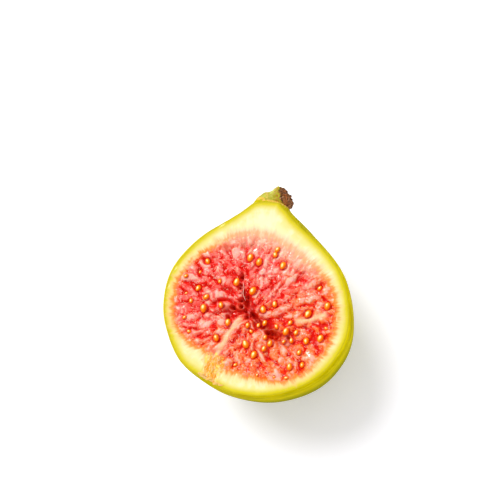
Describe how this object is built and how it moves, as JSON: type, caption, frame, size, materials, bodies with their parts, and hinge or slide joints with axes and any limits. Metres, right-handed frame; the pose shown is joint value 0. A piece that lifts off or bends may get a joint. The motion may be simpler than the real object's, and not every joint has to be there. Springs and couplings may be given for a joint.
{
  "type": "halved fresh fig",
  "caption": "Half of a fresh green fig, cut from stem to eye: pale rind around red seedy pulp, with its stub of stem, lying on its rounded back.",
  "frame": {"origin": "on the surface that the half lies on, under the middle of its box", "axes": "+Z out of the cut face, +Y from the eye of the fig towards the stem, +X to the right across the cut face"},
  "size_m": [0.051, 0.0562, 0.026],
  "materials": {
    "rind": "smooth yellow-green skin with paler streaks outside, matt cream flesh where it is cut",
    "pulp": "wet red and pink pulp with golden seeds",
    "stem": "matt green stub with a brown corky cut end"
  },
  "bodies": {
    "root": {"rind": "rind", "pulp": "pulp", "stem": "stem"}
  },
  "joints": []
}
